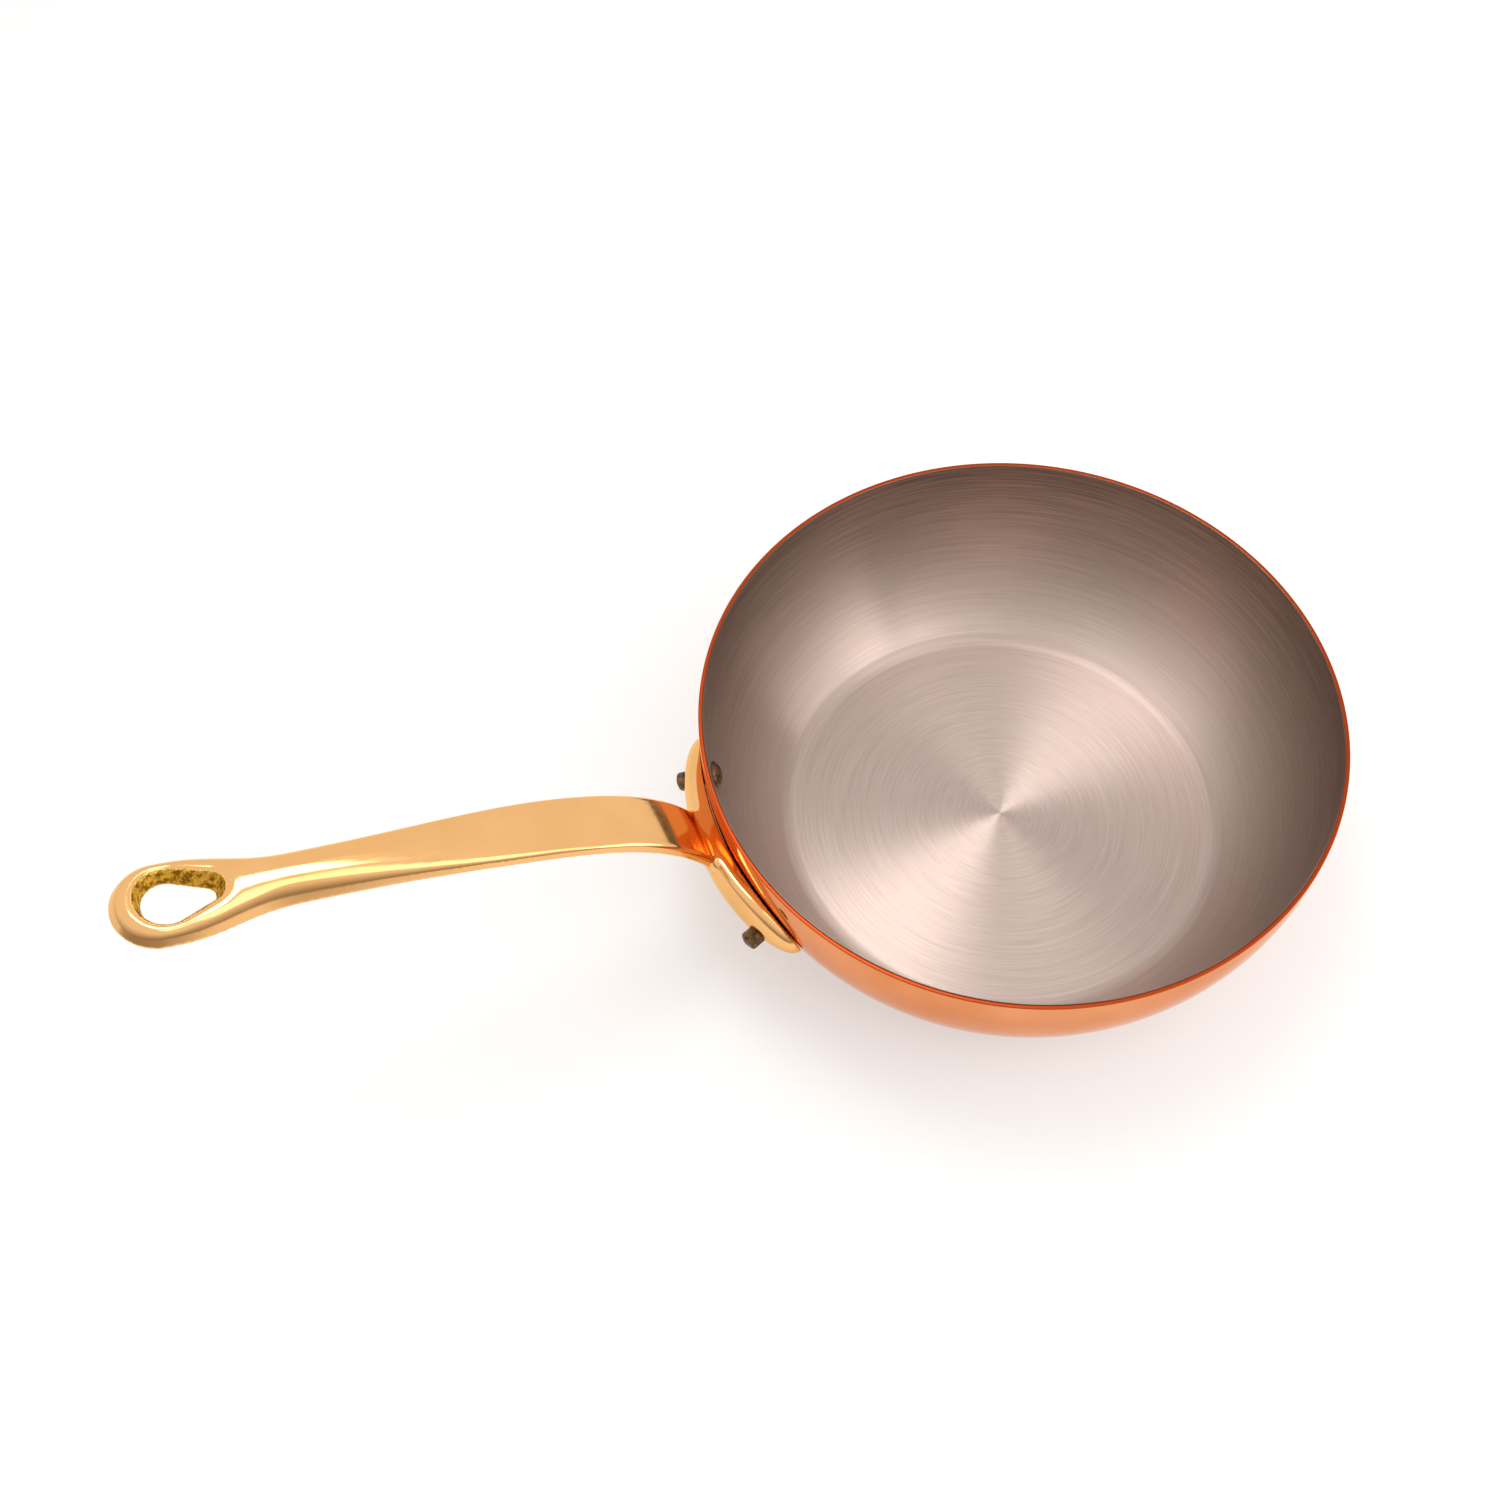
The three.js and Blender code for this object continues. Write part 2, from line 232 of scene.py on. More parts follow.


# stainless steel, spun and finished with an abrasive belt: its grooves run round the pan,
# so that lamps smear into fans on the floor and upright streaks on the wall; the wall is also
# darkened towards the rim with painted shade
def spunSteel():
    material, tree = newMaterial("stainless_steel_belt_brushed")
    place = addNode(tree, "TexCoord").outputs["Object"]
    height = addNode(tree, "SeparateXYZ", {}, {0: place}).outputs["Z"]
    fine, broad, coarse = (
        spunLines(tree, *steelFinish[key]) for key in ("grooves", "bands", "wallLines")
    )
    grooves = addNode(tree, "Mix", {
        "data_type": "FLOAT", 0: steelFinish["bandShare"],
    }, {2: fine, 3: broad}).outputs[0]
    deep, high = steelFinish["lineLevels"]
    level, drawn = (
        addNode(tree, "MapRange", {"From Min": deep, "From Max": high}, {"Value": lines}).outputs[0]
        for lines in (grooves, coarse)
    )
    tint = addNode(tree, "Mix", {
        "data_type": "RGBA", 6: hexColor(steelFinish["groove"]), 7: hexColor(steelFinish["metal"]),
    }, {0: level}).outputs[2]
    # painted shade: the wall darkens up to the rim, in two tints that its lines pick
    climb = addNode(tree, "MapRange", {
        "From Min": steelFinish["wallFrom"] * mm, "From Max": rimHeight * mm,
    }, {"Value": height}).outputs[0]
    dark, pale = (hexColor(code) for code in steelFinish["wallPaintedShade"])
    shade = addNode(tree, "Mix", {"data_type": "RGBA", 6: dark, 7: pale}, {0: drawn}).outputs[2]
    color = addNode(tree, "Mix", {
        "data_type": "RGBA", "blend_type": "MULTIPLY",
    }, {0: climb, 6: tint, 7: shade}).outputs[2]
    smooth, rough = steelFinish["roughness"]
    belted = addNode(tree, "MapRange", {"To Min": rough, "To Max": smooth}, {"Value": level}).outputs[0]
    middle, reach = (size * mm for size in steelFinish["cornerBand"])
    off = addNode(tree, "Math", {"operation": "SUBTRACT", 1: middle}, {0: height}).outputs[0]
    away = addNode(tree, "Math", {"operation": "ABSOLUTE"}, {0: off}).outputs[0]
    corner = addNode(tree, "MapRange", {
        "From Min": reach, "From Max": reach / 2,
    }, {"Value": away}).outputs[0]
    roughness = addNode(tree, "Mix", {
        "data_type": "FLOAT", 3: steelFinish["cornerRoughness"],
    }, {0: corner, 2: belted}).outputs[0]
    strength, depth = steelFinish["grooveBump"]
    bump = addNode(tree, "Bump", {
        "Strength": strength, "Distance": depth * mm,
    }, {"Height": grooves}).outputs[0]
    tangent = addNode(tree, "Tangent", {"direction_type": "RADIAL", "axis": "Z"}).outputs[0]
    metal = addNode(tree, "BsdfPrincipled", {
        "Metallic": 1.0, "Anisotropic": steelFinish["anisotropy"],
        "Anisotropic Rotation": steelFinish["smearTurn"],
    }, {"Base Color": color, "Roughness": roughness, "Normal": bump, "Tangent": tangent})
    addNode(tree, "OutputMaterial", {}, {"Surface": metal.outputs[0]})
    return material


brassFinish = {
    "metal": "#F5C082",
    "deep": "#EBB06E",
    "deepPatch": 16,              # mm
    "grazing": "#FFF1CC",         # tint of the shine seen along the surface
    "castSkin": "#E2B444",        # skin of the casting, left in the eye
    "castDark": "#8A6014",
    "castGrain": 1.6,             # mm
    "castLevels": (0.42, 0.58),   # of that grain, from dark to pale
    "castRagged": 1.2,            # how far the grain frays the edge of the skin
    "castEdge": (0.35, 0.75),     # of that edge, where the skin begins and is whole
    "castBump": (0.8, 0.5),       # strength, and depth in mm
    "castRoughness": 0.5,
    "roughness": (0.08, 0.16),
    "polishLine": 0.5,            # mm between polishing lines, coarser than real so that they show
    "polishDraw": (25, 1, 4),     # how far they are drawn out along, across and upright
    "polishLevels": (0.3, 0.7),   # of the noise, where a line is smoothest and roughest
    "polishBump": (0.04, 0.02),
}


# yellow brass, sand cast and polished by hand: bright faces with slightly soft reflections,
# and the dark skin of the casting left where the wheel doesn't reach
def castBrass():
    material, tree = newMaterial("brass_sand_cast_hand_polished")
    place = addNode(tree, "TexCoord").outputs["Object"]
    spacing = [brassFinish["polishLine"] * mm * draw for draw in brassFinish["polishDraw"]]
    drawn = addNode(tree, "VectorMath", {"operation": "DIVIDE", 1: spacing}, {0: place}).outputs[0]
    lines = addNode(tree, "TexNoise", {"Scale": 1.0, "Detail": 2.0}, {"Vector": drawn}).outputs["Fac"]
    patch = addNode(tree, "TexNoise", {
        "Scale": 1 / (brassFinish["deepPatch"] * mm), "Detail": 2.0,
    }, {"Vector": place}).outputs["Fac"]
    grain = addNode(tree, "TexNoise", {
        "Scale": 1 / (brassFinish["castGrain"] * mm), "Detail": 4.0, "Roughness": 0.65,
    }, {"Vector": place}).outputs["Fac"]
    skin = addNode(tree, "Attribute", {"attribute_name": "castSkin"}).outputs["Fac"]
    fray = brassFinish["castRagged"]
    ragged = addNode(tree, "Math", {
        "operation": "MULTIPLY_ADD", 1: fray, 2: -fray / 2,
    }, {0: grain}).outputs[0]
    edge = addNode(tree, "Math", {"operation": "ADD"}, {0: skin, 1: ragged}).outputs[0]
    begin, whole = brassFinish["castEdge"]
    left = addNode(tree, "MapRange", {"From Min": begin, "From Max": whole}, {"Value": edge}).outputs[0]
    tint = addNode(tree, "Mix", {
        "data_type": "RGBA", 6: hexColor(brassFinish["metal"]), 7: hexColor(brassFinish["deep"]),
    }, {0: patch}).outputs[2]
    dark, pale = brassFinish["castLevels"]
    speckle = addNode(tree, "MapRange", {"From Min": dark, "From Max": pale}, {"Value": grain}).outputs[0]
    cast = addNode(tree, "Mix", {
        "data_type": "RGBA", 6: hexColor(brassFinish["castDark"]), 7: hexColor(brassFinish["castSkin"]),
    }, {0: speckle}).outputs[2]
    color = addNode(tree, "Mix", {"data_type": "RGBA"}, {0: left, 6: tint, 7: cast}).outputs[2]
    smooth, rough = brassFinish["roughness"]
    low, high = brassFinish["polishLevels"]
    polished = addNode(tree, "MapRange", {
        "From Min": low, "From Max": high, "To Min": smooth, "To Max": rough,
    }, {"Value": lines}).outputs[0]
    roughness = addNode(tree, "Mix", {
        "data_type": "FLOAT", 3: brassFinish["castRoughness"],
    }, {0: left, 2: polished}).outputs[0]
    pits = addNode(tree, "Math", {"operation": "MULTIPLY"}, {0: grain, 1: left}).outputs[0]
    normal = None
    for key, height in (("polishBump", lines), ("castBump", pits)):
        strength, depth = brassFinish[key]
        below = {"Normal": normal} if normal else {}
        normal = addNode(tree, "Bump", {
            "Strength": strength, "Distance": depth * mm,
        }, {"Height": height, **below}).outputs[0]
    metal = addNode(tree, "BsdfPrincipled", {
        "Metallic": 1.0, "Specular Tint": hexColor(brassFinish["grazing"]),
    }, {"Base Color": color, "Roughness": roughness, "Normal": normal})
    addNode(tree, "OutputMaterial", {}, {"Surface": metal.outputs[0]})
    return material


bronzeFinish = {
    "metal": "#8A6A4C",
    "patina": "#3A2A1C",
    "roughness": (0.28, 0.5),
    "mottle": 2.2,                # mm
    "wornLevels": (0.35, 0.7),    # of the noise, from patina to bare metal
    "mottleBump": (0.35, 0.15),   # strength, and depth in mm
}


# bronze rivet, peened and left to darken: brown mottled skin with a dull metal shine
def darkBronze():
    material, tree = newMaterial("bronze_peened_and_darkened")
    place = addNode(tree, "TexCoord").outputs["Object"]
    mottle = addNode(tree, "TexNoise", {
        "Scale": 1 / (bronzeFinish["mottle"] * mm), "Detail": 4.0, "Roughness": 0.6,
    }, {"Vector": place}).outputs["Fac"]
    dark, bare = bronzeFinish["wornLevels"]
    worn = addNode(tree, "MapRange", {"From Min": dark, "From Max": bare}, {"Value": mottle}).outputs[0]
    color = addNode(tree, "Mix", {
        "data_type": "RGBA", 6: hexColor(bronzeFinish["patina"]), 7: hexColor(bronzeFinish["metal"]),
    }, {0: worn}).outputs[2]
    smooth, rough = bronzeFinish["roughness"]
    roughness = addNode(tree, "MapRange", {"To Min": rough, "To Max": smooth}, {"Value": worn}).outputs[0]
    strength, depth = bronzeFinish["mottleBump"]
    bump = addNode(tree, "Bump", {
        "Strength": strength, "Distance": depth * mm,
    }, {"Height": mottle}).outputs[0]
    metal = addNode(tree, "BsdfPrincipled", {"Metallic": 1.0}, {
        "Base Color": color, "Roughness": roughness, "Normal": bump,
    })
    addNode(tree, "OutputMaterial", {}, {"Surface": metal.outputs[0]})
    return material


bowl = {
    "wallArcRadius": 76,          # section of the wall
    "rimStraight": 4,
    "baseBendRadius": 7,
    "copperThickness": 1.3,
    "steelThickness": 0.2,
    "copperEdge": 0.35,           # rounding at the rim
    "steelEdge": 0.08,
    "segments": 288,
    "wallSteps": 40,
    "bendSteps": 12,
    "edgeSteps": 4,
}

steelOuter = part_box("steel_lining")[0].z / mm      # depth of the lining's two faces into the wall
steelInner = steelOuter + bowl["steelThickness"]
wallCentre = np.array((rimRadius - bowl["wallArcRadius"], rimHeight - bowl["rimStraight"]))
bendRise = wallCentre[1] - bowl["baseBendRadius"]
bendReach = math.sqrt((bowl["wallArcRadius"] - bowl["baseBendRadius"]) ** 2 - bendRise ** 2)
bendCentre = np.array((wallCentre[0] + bendReach, bowl["baseBendRadius"]))
bendTurn = -math.degrees(math.atan2(bendRise, bendReach))


def bowlLine(depth, facing):
    pole = [[0, depth, 0, -facing]]
    bend = arc(bendCentre, bowl["baseBendRadius"] - depth, -90, bendTurn, bowl["bendSteps"], facing)
    wall = arc(wallCentre, bowl["wallArcRadius"] - depth, bendTurn, 0, bowl["wallSteps"], facing)
    return np.vstack((pole, bend, wall[1:]))


def bowlLayer(name, outer, inner, edge, material):
    lip = rimHeight - edge
    rim = np.vstack((
        arc((rimRadius - outer - edge, lip), edge, 0, 90, bowl["edgeSteps"]),
        arc((rimRadius - inner + edge, lip), edge, 90, 180, bowl["edgeSteps"]),
    ))
    profile = np.vstack((bowlLine(outer, 1), rim, bowlLine(inner, -1)[::-1]))
    return newPiece(name, *turnProfile(profile, bowl["segments"]), material)


shell = bowlLayer("shell_copper", 0, bowl["copperThickness"], bowl["copperEdge"], spunCopper())
lining = bowlLayer("lining_steel", steelOuter, steelInner, bowl["steelEdge"], spunSteel())
print("bowl turned:", len(shell.data.vertices) + len(lining.data.vertices), "vertices")


handle = {
    "rootDrop": 20,               # start of the centre line, below the rim
    "rootDepth": 3.8,             # and out of the wall
    "neckRun": 20,                # how the neck leaves the flange
    "neckRise": 44.2,
    "tipLift": 51.4,
    "shaftRun": 107,              # how the shaft comes to the tip
    "shaftRise": 24.8,
    "neckWidth": 20.2,
    "neckLength": 55,
    "waistWidth": 16.6,
    "waistFromTip": 50,
    "eyeWidth": 26.1,
    # section at the neck and at the eye: the top is crowned, the sides lean in, the underside is flat
    "thickness": (3.2, 7.4),
    "crown": (0.3, 3.7),
    "edge": (1.0, 1.4),
    "draft": (0.4, 0.48),
    "raise": (0, 1.5),            # of the section above the centre line
    "underEdge": 0.9,
    "holeWidth": 12.8,
    "holeLength": 19,
    "holeMargin": 8.6,
    "holePoint": 2.5,
    "holeFlare": 2.6,             # the hole opens out to the top
    "holeLip": (1, 5),            # rounding of its edge at the underside and at the top
    "lipRise": (-1, 3),           # above the centre line, where the rounding begins to grow and is full
    "skinEdge": (0.2, 1.0),       # mm into the hole, where the wheel stops
    "step": 0.6,     # spacing of the grid that the skin is drawn on
}
flange = {
    "length": 84,
    "drop": 25.5,                 # of its middle below the rim
    "rise": 17,                   # of the whole leaf above its middle, and below it
    "fall": 13.5,
    "gap": 0.3,                   # to the wall
    "thickness": 8.3,
    "dome": 2.5,                  # in section 2 is an ellipse, more is squarer
    "bevelDrop": 12.5,
    "bevelLean": 0.45,
    "crest": 4.5,                 # rounding between the bevel and the dome
    "wallEdge": 0.7,
    "neckBlend": 4.5,
}
rivet = {
    "shankDiameter": 4.6,
    "headDiameter": 8.6,
    "headHeight": 2,
    "tailDiameter": 6,
    "tailHeight": 5.6,
    "tailEdge": 1.1,
    "tailTurn": 78,               # degrees that the tail's edge turns before its dome begins
    "tailDome": 0.5,
    "seatDepth": 5.21,
    "seatGap": 0.3,
    "clearance": 0.15,
    "segments": 48,
    "domeSteps": 12,
    "edgeSteps": 6,
    "crownSteps": 4,
}


# outward from the outside of the wall, square to it
def wallDepth(radius, height):
    curved = np.hypot(radius - wallCentre[0], height - wallCentre[1]) - bowl["wallArcRadius"]
    return np.where(height < wallCentre[1], curved, radius - rimRadius)


# outside radius of the wall and its lean from upright, this far below the rim
def wallAt(drop):
    lean = math.asin((drop - bowl["rimStraight"]) / bowl["wallArcRadius"])
    return wallCentre[0] + bowl["wallArcRadius"] * math.cos(lean), lean


root = np.array((-wallAt(handle["rootDrop"])[0] - handle["rootDepth"], rimHeight - handle["rootDrop"]))
tip = np.array((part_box("brass_handle")[0].x / mm, rimHeight + handle["tipLift"]))
neckPull = root + (-handle["neckRun"], handle["neckRise"])
shaftPull = tip + (handle["shaftRun"], -handle["shaftRise"])


# centre line seen from the side, from the root to the tip, with its first two slopes
def centreLine(share):
    k = share[:, None]
    leave, cross, arrive = neckPull - root, shaftPull - neckPull, tip - shaftPull
    turn, twist = cross - leave, arrive - 2 * cross + leave
    point = root + 3 * k * leave + 3 * k ** 2 * turn + k ** 3 * twist
    pace = 3 * leave + 6 * k * turn + 3 * k ** 2 * twist
    bend = 6 * turn + 6 * k * twist
    return point, pace, bend


lineOverrun = 0.06      # share of the line that is worked out beyond each of its ends
lineShares = np.linspace(-lineOverrun, 1 + lineOverrun, 4001)
linePaces = np.linalg.norm(centreLine(lineShares)[1], axis=1)
lineSteps = (linePaces[1:] + linePaces[:-1]) / 2 * np.diff(lineShares)
lineLengths = np.concatenate(([0], np.cumsum(lineSteps)))
lineFromTip = np.interp(1, lineShares, lineLengths) - lineLengths
handleLength = np.interp(0, lineShares, lineFromTip)


# distance from the tip along the centre line, and rise above it: the nearest of a few knots on the
# line is the first guess, and each round brings it closer
def besideLine(x, z, knotCount=41, rounds=6):
    spots = np.column_stack((x, z))
    guesses = np.linspace(0, 1, knotCount)
    knots = centreLine(guesses)[0]
    share = guesses[np.argmin(((spots[:, None] - knots) ** 2).sum(axis=2), axis=1)]
    for _ in range(rounds):
        point, pace, bend = centreLine(share)
        off = point - spots
        speed = (pace ** 2).sum(axis=1)
        turn = np.maximum(speed + (off * bend).sum(axis=1), speed / 4)
        share = np.clip(share - (off * pace).sum(axis=1) / turn, lineShares[0], lineShares[-1])
    point, pace, _ = centreLine(share)
    up = np.column_stack((pace[:, 1], -pace[:, 0])) / np.linalg.norm(pace, axis=1)[:, None]
    rise = ((spots - point) * up).sum(axis=1)
    return np.interp(share, lineShares, lineFromTip), rise


def halfWidth(fromTip):
    eye, waist, neck = (handle[key] / 2 for key in ("eyeWidth", "waistWidth", "neckWidth"))
    toWaist = smoothStep(eye, handle["waistFromTip"], fromTip)
    toNeck = smoothStep(handle["waistFromTip"], handleLength - handle["neckLength"], fromTip)
    return eye + (waist - eye) * toWaist + (neck - waist) * toNeck


# teardrop hole: a large round towards the tip, a small one towards the pan, and their tangents
def teardrop(fromTip, across):
    large, small = handle["holeWidth"] / 2, handle["holePoint"]
    run = handle["holeLength"] - large - small
    along = fromTip - handle["holeMargin"] - large
    side = np.abs(across)
    sine = (large - small) / run
    cosine = math.sqrt(1 - sine ** 2)
    part = cosine * along - sine * side
    flank = cosine * side + sine * along - large
    ends = np.where(part < 0, np.hypot(side, along) - large, np.hypot(side, along - run) - small)
    return np.where((part < 0) | (part > cosine * run), ends, flank)


# distance into the hole of the eye, narrowest at the underside
def holeField(fromTip, across, rise):
    thick = handle["thickness"][1]
    slope = handle["holeFlare"] / thick
    flare = slope * (rise - handle["raise"][1] + thick / 2)
    return (teardrop(fromTip, across) - flare) / math.sqrt(1 + slope ** 2)


# distance from the skin of the shaft, the neck and the eye without its hole
def barField(fromTip, across, rise, probe=0.1):
    share = smoothStep(handle["waistFromTip"] / 2, handleLength - handle["neckLength"], fromTip)
    sections = (handle[key] for key in ("thickness", "crown", "edge", "draft", "raise"))
    thickness, crown, edge, draft, lift = (eye + (neck - eye) * share for neck, eye in sections)
    rise = rise - lift
    half, width, eye = thickness / 2, halfWidth(fromTip), handle["eyeWidth"] / 2
    slope = (halfWidth(fromTip + probe) - halfWidth(fromTip - probe)) / (2 * probe)
    inPlan = np.where(fromTip < eye, np.hypot(fromTip - eye, across) - eye, np.abs(across) - width)
    lean = draft * np.clip(rise + half, 0, thickness)
    side = (inPlan + lean) / np.sqrt(1 + slope ** 2 + draft ** 2)
    side = np.maximum(side, fromTip - handleLength)
    bulge = np.clip(1 + inPlan / width, 0, 1)
    top = (rise - half + crown * bulge ** 2) / np.sqrt(1 + (2 * crown * bulge / width) ** 2)
    return np.maximum(softCorner(side, top, edge), softCorner(side, -rise - half, handle["underEdge"]))


# distance from the skin of the flange: a domed leaf laid on the wall, with a bevel along its top
# that faces the wall
def flangeField(x, y, z, leastSlope=0.05):
    long, thick, dome = flange["length"] / 2, flange["thickness"], flange["dome"]
    depth = wallDepth(np.hypot(x, y), z) - flange["gap"]
    height = z - rimHeight + flange["drop"]
    tall = np.where(height > 0, flange["rise"], flange["fall"])
    around, up, out = np.arctan2(y, -x) * rimRadius / long, height / tall, np.maximum(depth, 0) / thick
    level = around ** 2 + up ** 2 + out ** dome - 1
    slopes = 2 * around / long, 2 * up / tall, dome * out ** (dome - 1) / thick
    leaf = level / np.maximum(np.sqrt(sum(k ** 2 for k in slopes)), leastSlope)
    lean = flange["bevelLean"]
    bevel = (z - rimHeight + flange["bevelDrop"] - lean * depth) / math.sqrt(1 + lean ** 2)
    return softMax(leaf, bevel, flange["crest"])


# where each rivet goes through the wall, and the way that it points
def rivetStand(node):
    low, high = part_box(node)
    middle = (low + high) / 2
    turn = math.atan2(middle.y, -middle.x)
    radius, lean = wallAt(flange["drop"])
    place = np.array((-radius * math.cos(turn), radius * math.sin(turn), rimHeight - flange["drop"]))
    axis = np.array((-math.cos(turn) * math.cos(lean), math.sin(turn) * math.cos(lean), -math.sin(lean)))
    return place, axis


rivetStands = {node: rivetStand(node) for node in ("rivet_left", "rivet_right")}


# distance from the space that the rivets take in the flange
def rivetField(spots):
    nearest = np.full(len(spots), np.inf)
    for place, axis in rivetStands.values():
        along = (spots - place) @ axis
        off = np.linalg.norm(spots - place - along[:, None] * axis, axis=1) - rivet["clearance"]
        bore = off - rivet["shankDiameter"] / 2
        seat = np.maximum(off - rivet["tailDiameter"] / 2, rivet["seatDepth"] - along)
        nearest = np.minimum(nearest, np.minimum(bore, seat))
    return nearest


# distance from the skin of the whole casting, in batches that spare memory
def handleField(spots, batch=40000):
    values = []
    for part in np.array_split(spots, max(1, len(spots) // batch)):
        x, y, z = part.T
        fromTip, rise = besideLine(x, z)
        lower, upper = handle["holeLip"]
        lip = lower + (upper - lower) * smoothStep(*handle["lipRise"], rise)
        strap = softMax(barField(fromTip, y, rise), -holeField(fromTip, y, rise), lip)
        body = softMin(strap, flangeField(x, y, z), flange["neckBlend"])
        clear = flange["gap"] - wallDepth(np.hypot(x, y), z)
        values.append(np.maximum(softMax(body, clear, flange["wallEdge"]), -rivetField(part)))
    return np.concatenate(values)


# values of a field on a grid, worked out only in the blocks that the skin passes through
def fieldGrid(field, low, high, step, block=8, reach=1.6):
    size = step * block
    count = np.ceil((high - low) / size).astype(int)
    middles = low + (np.indices(count).reshape(3, -1).T + 0.5) * size
    rough = field(middles).reshape(count)
    spread = np.ones((block,) * 3)
    values = np.kron(np.where(rough < 0, -size, size), spread)
    near = np.kron(np.abs(rough) < reach * size, spread) > 0    # further off, no skin is in the block
    values[near] = field(low + np.argwhere(near) * step)
    return values


# the grid from this point on, as far as this size
def stretch(grid, start, size):
    return grid[tuple(slice(s, s + n) for s, n in zip(start, size))]


# where the skin only just reaches a row of grid points, four faces would meet at one edge: the point
# that is nearest to the skin is let out there
def untangle(values, rounds=4):
    axes = np.eye(3, dtype=int)
    for one, two in [(axes[0], axes[1]), (axes[0], axes[2]), (axes[1], axes[2])] * rounds:
        square = [0 * one, one, one + two, two]
        size = np.array(values.shape) - one - two
        a, b, c, d = (stretch(values, by, size) < 0 for by in square)
        spots = np.argwhere((a == c) & (b == d) & (a != b))
        ring = np.stack([spots + by for by in square], axis=1)
        depth = values[tuple(ring.T)]
        pick = np.argmax(np.where(depth < 0, depth, -np.inf), axis=0)
        values[tuple(ring[np.arange(len(ring)), pick].T)] *= -1


# one vertex in each cell that the skin crosses, one face across each grid edge that it crosses
def skinOf(values, low, step):
    inside = values < 0
    size = np.array(values.shape) - 1
    corners = list(np.ndindex(2, 2, 2))
    filled = sum(stretch(inside, by, size).astype(int) for by in corners)
    active = (filled > 0) & (filled < 8)
    number = np.full(size, -1)
    number[active] = np.arange(active.sum())
    total, hits = np.zeros((active.sum(), 3)), np.zeros(active.sum())
    for start in corners:
        for axis in (a for a in range(3) if start[a] == 0):
            end = tuple(s + (a == axis) for a, s in enumerate(start))
            here, there = stretch(values, start, size)[active], stretch(values, end, size)[active]
            crossed = (here < 0) != (there < 0)
            spot = np.repeat([start], len(here), axis=0).astype(float)
            spot[crossed, axis] += (here / np.where(here == there, 1, here - there))[crossed]
            total[crossed] += spot[crossed]
            hits += crossed
    vertices = low + (np.argwhere(active) + total / hits[:, None]) * step
    faces = []
    for axis in range(3):
        side, other = (np.eye(3, dtype=int)[(axis + turn) % 3] for turn in (1, 2))
        ahead = np.roll(inside, -1, axis=axis)
        edges = np.argwhere(inside != ahead)
        edges = edges[(edges[:, axis] < size[axis]) & (edges @ side > 0) & (edges @ other > 0)]
        ring = [edges, edges - side, edges - side - other, edges - other]
        quads = np.column_stack([number[tuple(cell.T)] for cell in ring])
        leaving = inside[tuple(edges.T)]
        faces += quads[leaving].tolist() + quads[~leaving][:, ::-1].tolist()
    return vertices, faces


# the way that a field grows, and how fast
def steepest(field, spots, probe=0.02):
    steps = np.eye(3) * probe
    return np.column_stack([(field(spots + d) - field(spots - d)) / (2 * probe) for d in steps])


def castHandle(material, rounds=3):
    margin = 4 * handle["step"]
    low, high = (np.array(corner / mm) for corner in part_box("brass_handle"))
    low, high = low - margin, high + margin
    values = fieldGrid(handleField, low, high, handle["step"])
    untangle(values)
    vertices, faces = skinOf(values, low, handle["step"])
    for _ in range(rounds):  # settle the vertices on the skin itself
        slope = steepest(handleField, vertices)
        vertices = vertices - slope * (handleField(vertices) / (slope ** 2).sum(axis=1))[:, None]
    slope = steepest(handleField, vertices)
    normals = slope / np.linalg.norm(slope, axis=1)[:, None]
    piece = newPiece("handle_brass", vertices, faces, normals[np.ravel(faces)], material)
    fromTip, rise = besideLine(vertices[:, 0], vertices[:, 2])
    inHole = -holeField(fromTip, vertices[:, 1], rise) - barField(fromTip, vertices[:, 1], rise)
    skin = piece.data.attributes.new("castSkin", "FLOAT", "POINT")
    skin.data.foreach_set("value", smoothStep(*handle["skinEdge"], inHole).astype(np.float32))
    return piece


grip = castHandle(castBrass())
print("handle cast:", len(grip.data.vertices), "vertices")


# low domed head in the pan, plain shank, and a stout tail whose end is peened to a dome
def rivetProfile():
    seat = -steelInner - rivet["seatGap"]
    head, shank, tail = (rivet[key] / 2 for key in ("headDiameter", "shankDiameter", "tailDiameter"))
    foot = rivet["seatDepth"] + rivet["seatGap"]
    top = foot + rivet["tailHeight"]
    domeRadius = (head ** 2 + rivet["headHeight"] ** 2) / (2 * rivet["headHeight"])
    domeTurn = math.degrees(math.asin(head / domeRadius))
    domeAt = (0, seat - rivet["headHeight"] + domeRadius)
    dome = arc(domeAt, domeRadius, -90, domeTurn - 90, rivet["domeSteps"])
    edge = rivet["tailEdge"]
    cornerAt = (tail - edge, top - edge - rivet["tailDome"])
    corner = arc(cornerAt, edge, 0, rivet["tailTurn"], rivet["edgeSteps"])
    reach, height, outward, upward = corner[-1]
    shares = np.linspace(1, 0, rivet["crownSteps"] + 1)[1:]
    crown = [[reach * k, top - (top - height) * k ** 2, outward * k, upward] for k in shares]
    return np.vstack((
        dome,
        [[head, seat, 0, 1], [shank, seat, 0, 1], [shank, seat, 1, 0], [shank, foot, 1, 0]],
        [[shank, foot, 0, -1], [tail, foot, 0, -1], [tail, foot, 1, 0]],
        corner,
        crown,
    ))


bronze = darkBronze()
rivetPieces = {}
for node, (place, axis) in rivetStands.items():
    piece = newPiece(node + "_bronze", *turnProfile(rivetProfile(), rivet["segments"]), bronze)
    turn = Vector(axis).to_track_quat("Z", "Y").to_matrix().to_4x4()
    piece.data.transform(Matrix.Translation(Vector(place) * mm) @ turn)
    rivetPieces[node] = piece
print("rivets set:", ", ".join(rivetPieces))


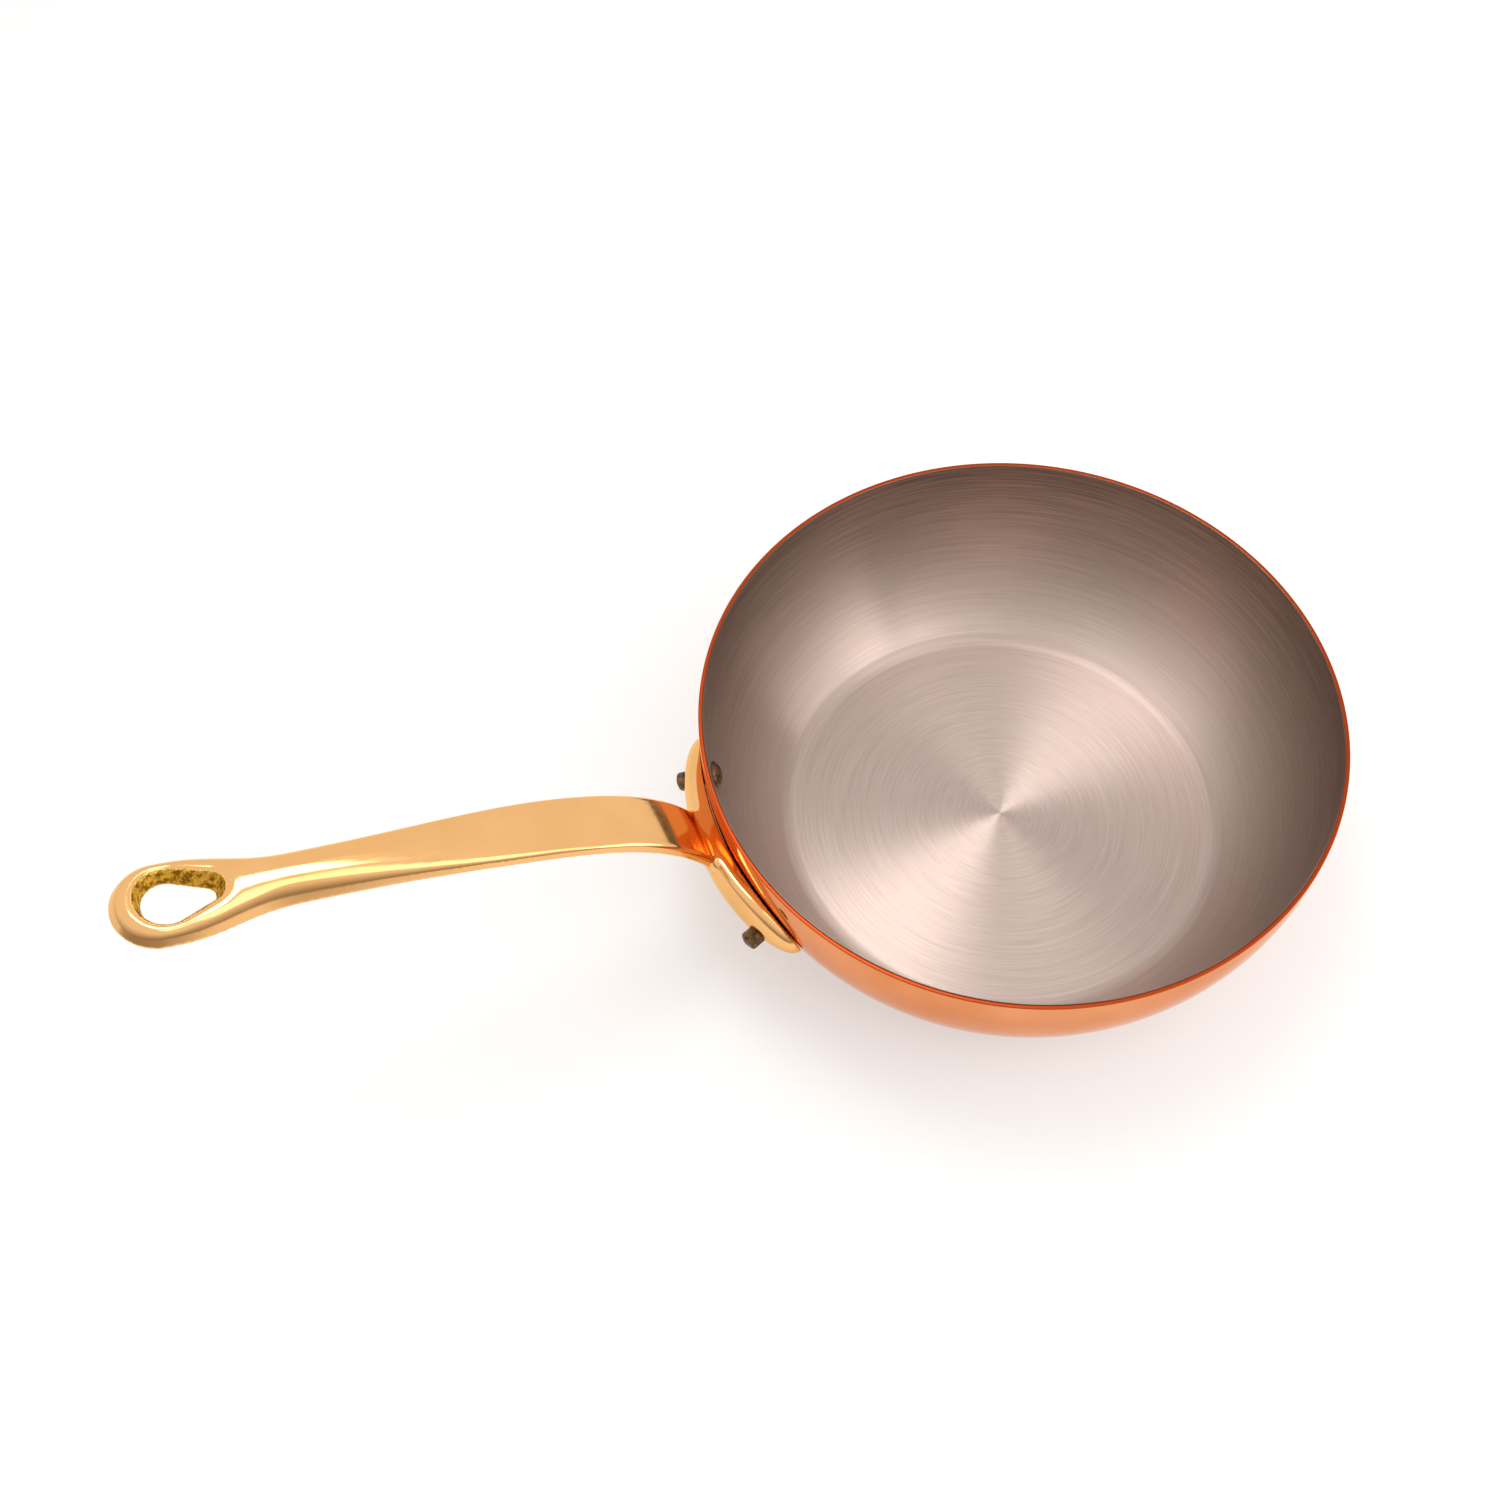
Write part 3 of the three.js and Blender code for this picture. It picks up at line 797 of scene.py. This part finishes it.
for piece, node, slot in (
    (shell, "copper_shell", "polished_copper"),
    (lining, "steel_lining", "brushed_lining"),
    (grip, "brass_handle", "cast_brass"),
    (rivetPieces["rivet_left"], "rivet_left", "dark_bronze"),
    (rivetPieces["rivet_right"], "rivet_right", "dark_bronze"),
):
    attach(piece, "root")
    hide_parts(node)
print("pieces ride on the frame")


studio = {
    "floor": "#F4F2F0",
    "floorSize": 6000,
    "floorPaintedShade": "#B0ACA6",        # painted shade: the paper greys off towards the camera, out of the picture
    "floorWay": (0.36, 0.93, 0),  # away from the camera
    "floorFade": (-850, -300),    # mm along that way, where the painted shade is full and where it is gone
    "glow": "#FFFFFF",
    "floorGlow": 0.4,             # share of that plain white that the eye sees in the paper
    "paperGrain": 2.5,            # mm
    "paperBump": (0.02, 0.1),     # strength, and depth in mm
    "roomPale": "#FFFFFF",        # the room is white behind the pan and overhead
    "roomDim": "#A09A92",         # and grey low down on the camera's side
    "roomWay": (0.45, 0.85, 1.9),
    "roomFade": (-0.75, 0.45),    # along that way, where the room is all dim and all pale
    # place, size and watts of each lamp
    "lamps": {
        "softbox_top": ((-65, 140, 620), (250, 250), 1.0),
        "softbox_front": ((330, -480, 930), (600, 850), 1.9),
        "softbox_low": ((620, -420, 330), (700, 300), 1.4),
    },
    "aim": (-20, 0, 30),
}


# matt white paper that keeps a light shadow, with shade painted on it towards the camera
def buildFloor():
    material, tree = newMaterial("paper_sweep_matt")
    place = addNode(tree, "TexCoord").outputs["Object"]
    grain = addNode(tree, "TexNoise", {
        "Scale": 1 / (studio["paperGrain"] * mm),
    }, {"Vector": place}).outputs["Fac"]
    strength, depth = studio["paperBump"]
    bump = addNode(tree, "Bump", {
        "Strength": strength, "Distance": depth * mm,
    }, {"Height": grain}).outputs[0]
    # painted shade: the paper and its glow grey off towards the camera
    along = addNode(tree, "VectorMath", {
        "operation": "DOT_PRODUCT", 1: studio["floorWay"],
    }, {0: place}).outputs["Value"]
    greyFrom, paleFrom = (reach * mm for reach in studio["floorFade"])
    fade = addNode(tree, "MapRange", {
        "interpolation_type": "SMOOTHSTEP", "From Min": greyFrom, "From Max": paleFrom,
    }, {"Value": along}).outputs[0]
    near, paintedShade, white = (hexColor(studio[key]) for key in ("floor", "floorPaintedShade", "glow"))
    tint = addNode(tree, "Mix", {"data_type": "RGBA", 6: paintedShade, 7: near}, {0: fade}).outputs[2]
    glow = addNode(tree, "Mix", {"data_type": "RGBA", 6: paintedShade, 7: white}, {0: fade}).outputs[2]
    paper = addNode(tree, "BsdfDiffuse", {}, {"Color": tint, "Normal": bump}).outputs[0]
    plain = addNode(tree, "Emission", {"Strength": 1.0}, {"Color": glow}).outputs[0]
    ray = addNode(tree, "LightPath").outputs
    seen = ray["Is Camera Ray"]
    for kind in ("Is Glossy Ray", "Is Transmission Ray"):
        seen = addNode(tree, "Math", {"operation": "MAXIMUM"}, {0: seen, 1: ray[kind]}).outputs[0]
    share = addNode(tree, "Math", {"operation": "MULTIPLY", 1: studio["floorGlow"]}, {0: seen}).outputs[0]
    sheet = addNode(tree, "MixShader", {}, {0: share, 1: paper, 2: plain})
    addNode(tree, "OutputMaterial", {}, {"Surface": sheet.outputs[0]})
    half = studio["floorSize"] / 2
    corners = [(-half, -half, 0), (half, -half, 0), (half, half, 0), (-half, half, 0)]
    floor = newPiece("floor", corners, [[0, 1, 2, 3]], [(0, 0, 1)] * 4, material)


def buildLight():
    world = bpy.data.worlds.new("studio")
    bpy.context.scene.world = world
    world.use_nodes = True
    tree = world.node_tree
    tree.nodes.clear()
    way = addNode(tree, "TexCoord").outputs["Generated"]
    facing = addNode(tree, "VectorMath", {
        "operation": "DOT_PRODUCT", 1: studio["roomWay"],
    }, {0: way}).outputs["Value"]
    dimFrom, paleFrom = studio["roomFade"]
    level = addNode(tree, "MapRange", {
        "From Min": dimFrom, "From Max": paleFrom,
    }, {"Value": facing}).outputs[0]
    tint = addNode(tree, "Mix", {
        "data_type": "RGBA", 6: hexColor(studio["roomDim"]), 7: hexColor(studio["roomPale"]),
    }, {0: level}).outputs[2]
    room = addNode(tree, "Background", {"Strength": 1.0}, {"Color": tint})
    addNode(tree, "OutputWorld", {}, {"Surface": room.outputs[0]})
    for name, (place, size, watts) in studio["lamps"].items():
        data = bpy.data.lights.new(name, "AREA")
        data.shape = "RECTANGLE"
        data.size, data.size_y = (side * mm for side in size)
        data.energy = watts
        lamp = bpy.data.objects.new(name, data)
        lamp.location = Vector(place) * mm
        lamp.visible_camera = False
        toPan = Vector(studio["aim"]) * mm - lamp.location
        lamp.rotation_euler = toPan.to_track_quat("-Z", "Y").to_euler()
        bpy.context.scene.collection.objects.link(lamp)


camera = {
    "place": (-194.0, -271.0, 557.7),
    "turn": (32.0, 0.0, -21.0),   # degrees
    "lens": 45.85,
    "sensor": 36,
    "nearest": 10,
}


def setCamera():
    data = bpy.data.cameras.new("camera")
    data.lens = camera["lens"]
    data.sensor_width = camera["sensor"]
    data.clip_start = camera["nearest"] * mm
    eye = bpy.data.objects.new("camera", data)
    eye.location = Vector(camera["place"]) * mm
    eye.rotation_euler = [math.radians(t) for t in camera["turn"]]
    bpy.context.scene.collection.objects.link(eye)
    bpy.context.scene.camera = eye


buildFloor()
buildLight()
setCamera()
bpy.context.scene.view_settings.view_transform = "Standard"
print("studio lit")
